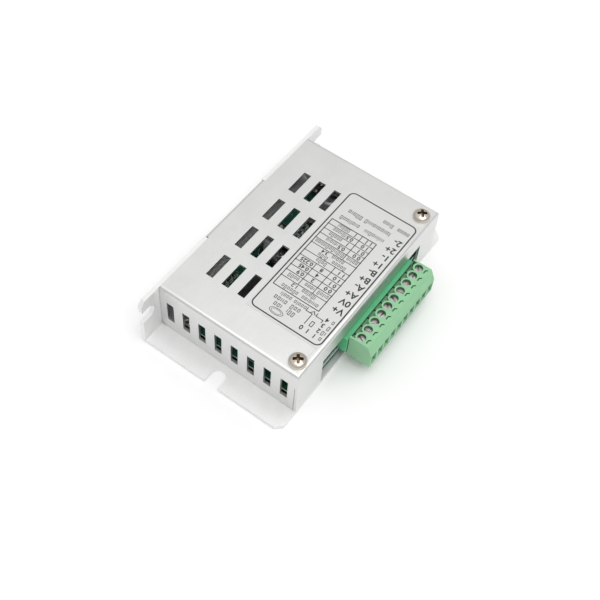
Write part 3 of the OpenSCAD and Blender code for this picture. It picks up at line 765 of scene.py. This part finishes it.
# The label's layout: a line of print stands on one x and runs along +Y.
FRAME_X, FRAME_Y, FRAME_R = (-28.2, 29.8), (-25.7, 1.2), 2.2
FRAME_LINE, TABLE_LINE, POINTER_LINE, THIN_LINE = 0.45, 0.32, 0.28, 0.26
TERMINAL_MARKS = ("V+", "0V", "A+", "A-", "B+", "B-", "1+", "1-", "2+", "2-")
TERMINAL_X0, TERMINAL_STEP, TERMINAL_Y = -12.2, 3.765, -24.6
TABLE_X, TABLE_Y = (-17.5, 15.93), (-18.1, -0.1)
STEP_ROWS = (-13.0, -10.2, -7.68, -5.16, -2.64, -0.12)
CURRENT_ROWS = (3.73, 6.17, 8.61, 11.05, 13.49)
SWITCH_ROWS = (-24.9, -22.5, -20.1, -17.7)
CODE_SPLIT, VALUE_SPLIT = -12.5, -6.84
CODES = ("0 0", "0 1", "1 0", "1 1")
STEP_PARTS = ("2", "4", "8", "")
STEP_ANGLES = ("0.9", "0.45", "0.225", "")
CURRENTS = ("0.5", "1", "0.5", "1")
CODE_Y, PARTS_Y, ANGLE_Y, CURRENT_Y = -17.0, -10.2, -6.2, -10.9
FIGURE_H, SMALL_FIGURE_H, TERMINAL_H = 1.5, 1.4, 2.4
CELL_WORD_H, HEADING_H = 1.3, 1.35

# Words over the tables: the line each stands on and where it starts and ends along it.
HEADINGS = ((STEP_ROWS[1] - 0.7, (-17.3, -13.4)), (STEP_ROWS[1] - 0.7, (-11.9, -8.0)),
            (STEP_ROWS[1] - 0.7, (-5.9, -1.2)), (CURRENT_ROWS[1] - 0.5, (-17.3, -13.4)),
            (CURRENT_ROWS[1] - 0.5, (-11.9, -1.0)), (-15.5, (-16.6, -10.2)), (-15.5, (-8.8, -2.2)),
            (-13.45, (-14.2, -8.6)), (1.55, (-15.4, -9.6)), (1.55, (-8.3, -4.2)), (3.35, (-13.6, -8.6)))

# Words at both ends of the label, each with its height as well.
TITLES = ((-22.6, (-12.6, -8.9), 1.6), (-22.6, (-7.6, -3.9), 1.6), (-20.4, (-13.2, -9.4), 1.6),
          (-20.4, (-8.1, -2.9), 1.6), (-18.3, (-14.6, -9.6), 1.35), (-18.3, (-8.4, -3.6), 1.35),
          (18.9, (-18.9, -10.6), 1.5), (18.9, (-9.2, -1.3), 1.5), (22.6, (-19.1, -9.2), 1.6),
          (22.6, (-8.0, -1.9), 1.6), (26.0, (-24.4, -19.4), 1.5), (26.0, (-18.2, -13.6), 1.5))
SIGN_X, SIGN_Y = -25.5, -7.45


def print_terminals(ink):
    for k, mark in enumerate(TERMINAL_MARKS):
        ink.text(mark, TERMINAL_X0 + TERMINAL_STEP * k, TERMINAL_Y, TERMINAL_H, 0.08)


def print_tables(ink, rng):
    """Step and current settings: codes with their values, as figures in ruled cells."""
    ink.frame(TABLE_X, TABLE_Y, 0.25, TABLE_LINE)
    for x in STEP_ROWS + CURRENT_ROWS:
        ink.stroke((x, TABLE_Y[0]), (x, TABLE_Y[1]), THIN_LINE)
    ink.stroke((STEP_ROWS[0], CODE_SPLIT), (STEP_ROWS[-1], CODE_SPLIT), THIN_LINE)
    ink.stroke((STEP_ROWS[0], VALUE_SPLIT), (STEP_ROWS[-2], VALUE_SPLIT), THIN_LINE)
    ink.stroke((CURRENT_ROWS[0], CODE_SPLIT), (TABLE_X[1], CODE_SPLIT), THIN_LINE)
    for foot, code, parts, angle in zip(STEP_ROWS[2:], CODES, STEP_PARTS, STEP_ANGLES):
        for figures, y in ((code, CODE_Y), (parts, PARTS_Y), (angle, ANGLE_Y)):
            ink.text(figures, foot - 0.55, y, FIGURE_H)
    for foot, code, current in zip((*CURRENT_ROWS[2:], TABLE_X[1]), CODES, CURRENTS):
        for figures, y in ((code, CODE_Y), (current, CURRENT_Y)):
            ink.text(figures, foot - 0.5, y, FIGURE_H)
        ink.word(rng, foot - 0.5, (-7.8, -3.0), CELL_WORD_H)
    ink.word(rng, STEP_ROWS[-1] - 0.55, (-9.5, -5.6), CELL_WORD_H)
    for x, y in HEADINGS:
        ink.word(rng, x, y, HEADING_H)
    for switches, x in (("1.2", -13.45), ("3.4", 3.35)):
        ink.text(switches, x, -7.6, SMALL_FIGURE_H, 0.05)


def print_switch_marks(ink, rng):
    """The four switches' numbers, their two positions and the pointers beside them."""
    for k, x in enumerate(SWITCH_ROWS):
        ink.word(rng, x, (-24.4, -23.0), 1.5)
        ink.text(str(k + 1), x, -22.6, 1.6)
    ink.text("1", -24.6, -20.0, 1.7)
    ink.text("0", -24.6, -17.6, 1.7)
    ink.frame((-23.6, -21.4), (-19.6, -18.4), 0.2, THIN_LINE)
    for points in ([(-23.6, -17.0), (-19.4, -17.0), (-19.4, -14.6), (-18.2, -14.6)],
                   [(-20.3, -21.0), (-19.3, -21.0), (-19.3, -18.3), (-18.2, -18.3)],
                   [(-19.2, -16.2), (-18.2, -17.0), (-19.2, -17.8)]):
        ink.lines(points, POINTER_LINE)


def print_titles(ink, rng):
    """A plain double oval and stand-ins for the words above and below the tables."""
    for outer, inner in (((1.25, 2.6), (1.05, 2.4)), ((0.8, 1.9), (0.68, 1.75))):
        ink.plate(oval(SIGN_X, SIGN_Y, *outer), oval(SIGN_X, SIGN_Y, *inner))
    for x, y, height in TITLES:
        ink.word(rng, x, y, height)


def make_label_print():
    """The label's print; its words' random draws follow the order of the calls."""
    rng = random.Random(7)
    ink = Print(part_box("label")[1][2] / MM)
    ink.frame(FRAME_X, FRAME_Y, FRAME_R, FRAME_LINE)
    print_terminals(ink)
    print_tables(ink, rng)
    print_switch_marks(ink, rng)
    print_titles(ink, rng)
    attach(ink.finish("label_print", "label_ink"), BODY_OF["label"], "label_film")


# ---- Circuit board ----

RIM_WIDTH, RIM_GAP = 0.34, 0.01


def make_board():
    """The board with edges darkened by painted shade, a pale rim, masked tracks, vias and white legend."""
    board = finish_mesh("circuit_board_skin", clean_copy("circuit_board"), "board_laminate")
    board.data.materials.append(MATERIALS["laminate_edge"])
    # Upright faces take the edge material with its painted shade.
    for face in board.data.polygons:
        upright = abs(face.normal.z) < 0.5
        face.material_index = int(upright)
    attach(board, BODY_OF["circuit_board"], "board_laminate", "circuit_board")
    low, high = (Vector(corner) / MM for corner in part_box("circuit_board"))
    rim = Print(high.z)
    rim.frame((low.x + RIM_GAP, high.x - RIM_GAP), (low.y + RIM_GAP, high.y - RIM_GAP), RIM_WIDTH + 0.02,
              RIM_WIDTH)
    attach(rim.finish("board_rim", "bare_rim"), BODY_OF["circuit_board"], "board_laminate")
    make_tracks(low, high)
    make_legend(high.z)


TRACK_GRID = 1.27
TRACKS = 90
VIA_R, VIA_RING = 0.36, 0.2
EDGE_GAP, START_GAP = 1, 3


def make_tracks(low, high):
    """Masked copper on a grid: straight and slanting runs, with a via at both ends of each track."""
    rng = random.Random(21)
    tracks = Print(high.z, 0.03)
    vias = Print(high.z, 0.035)
    for _ in range(TRACKS):
        place = Vector((rng.uniform(low.x + START_GAP, high.x - START_GAP),
                        rng.uniform(low.y + START_GAP, high.y - START_GAP)))
        place = Vector((round(place.x / TRACK_GRID), round(place.y / TRACK_GRID))) * TRACK_GRID
        along = rng.randrange(4)
        points = [place]
        for _ in range(3):
            step = Vector((math.cos(math.pi / 2 * along), math.sin(math.pi / 2 * along)))
            points.append(points[-1] + step * TRACK_GRID * rng.randint(1, 4))
            side = Vector((-step.y, step.x)) * rng.choice((-1, 1))
            points.append(points[-1] + (step + side) * TRACK_GRID * rng.choice((0.5, 1)))
        points = [point for point in points if low.x + EDGE_GAP < point.x < high.x - EDGE_GAP
                  and low.y + EDGE_GAP < point.y < high.y - EDGE_GAP]
        tracks.lines(points, rng.choice((0.25, 0.25, 0.4)))
        for end in (points[0], points[-1]):
            vias.ring(end.x, end.y, VIA_R, VIA_RING)
    attach(tracks.finish("board_tracks", "track_copper"), BODY_OF["circuit_board"], "board_laminate")
    attach(vias.finish("board_vias", "solder"), BODY_OF["circuit_board"], "tinned_metal")


OUTLINED = ("logic_chip", "optocouplers", "driver_chip", "voltage_regulator", "supply_diode", "crystal",
            "sense_resistors", "chip_resistors", "ceramic_capacitors", "dip_switch_body")
TIGHT_OUTLINES = ("crystal", "chip_resistors", "ceramic_capacitors")


def make_legend(surface):
    """White outlines round the parts and small figures beside them."""
    legend = Print(surface, 0.04)
    number = 0
    for node in OUTLINED:
        gap = 0.35 if node in TIGHT_OUTLINES else 0.7
        for low, high in lumps(node):
            legend.frame((low.x - gap, high.x + gap), (low.y - gap, high.y + gap), 0.3, 0.15)
            number += 1
            legend.text(str(number), low.x - gap - 0.2, low.y, 0.9, 0.01)
    for node in ("bulk_capacitors", "small_capacitors"):
        for low, high in lumps(node):
            x, y = (low.x + high.x) / 2, (low.y + high.y) / 2
            legend.ring(x, y, (high.x - low.x) / 2 + 0.6, 0.18)
            legend.text("+", low.x - 0.9, low.y + 0.6, 1.4, 0.02)
    attach(legend.finish("board_legend", "silk_ink"), BODY_OF["circuit_board"], "board_laminate")


# ---- Floor and light ----

FLOOR_GAP = 0.05
FLOOR_HALF_M = 3.0


def make_floor():
    """A broad sheet of paper just under the part."""
    bm = bmesh.new()
    bmesh.ops.create_grid(bm, x_segments=8, y_segments=8, size=FLOOR_HALF_M)
    floor = finish_mesh("floor", bm, "floor_paper")
    floor.location.z = -FLOOR_GAP * MM


# The key light's place and side in metres, its power in watts, and the surroundings' colours from
# the horizon (0) to overhead (1).
KEY_AT = Vector((-0.06, -0.32, 1.45))
KEY_SIZE = 1.2
KEY_POWER = 9.8
SKY = [(0.0, grey(0.60)), (0.4, grey(0.56)), (0.75, (0.84, 0.84, 0.83)), (1.0, (0.88, 0.88, 0.87))]


def make_key_light():
    """A large soft square overhead, aimed at the middle of the base."""
    data = bpy.data.lights.new("key", "AREA")
    data.shape = "RECTANGLE"
    data.size = data.size_y = KEY_SIZE
    data.energy = KEY_POWER
    light = new_object("key", data)
    light.location = KEY_AT
    light.rotation_euler = (-KEY_AT).to_track_quat("-Z", "Y").to_euler()


def make_world():
    """Plain studio surroundings, brightest overhead."""
    world = bpy.data.worlds.new("studio")
    bpy.context.scene.world = world
    world.use_nodes = True
    tree = world.node_tree
    place = tree.nodes.new("ShaderNodeTexCoord")
    split = tree.nodes.new("ShaderNodeSeparateXYZ")
    ramp = tree.nodes.new("ShaderNodeValToRGB")
    fill_ramp(ramp, SKY)
    tree.links.new(place.outputs["Generated"], split.inputs["Vector"])
    tree.links.new(split.outputs["Z"], ramp.inputs["Fac"])
    tree.links.new(ramp.outputs["Color"], tree.nodes["Background"].inputs["Color"])


def make_light():
    make_world()
    make_key_light()
    view = bpy.context.scene.view_settings
    view.view_transform = "Standard"
    view.look = "None"


make_camera()
make_materials()
dress_cad_nodes()
make_skins()
make_screws("cover_screws", COVER_SCREW_HEAD, COVER_SCREW_TURN)
make_screws("board_screws", BOARD_SCREW_HEAD, BOARD_SCREW_TURN)
make_capacitors("bulk_capacitors", 0.0)
make_capacitors("small_capacitors", 0.3)
for chips in ("chip_resistors", "ceramic_capacitors", "sense_resistors"):
    make_chips(chips)
make_board()
make_label_print()
make_floor()
make_light()
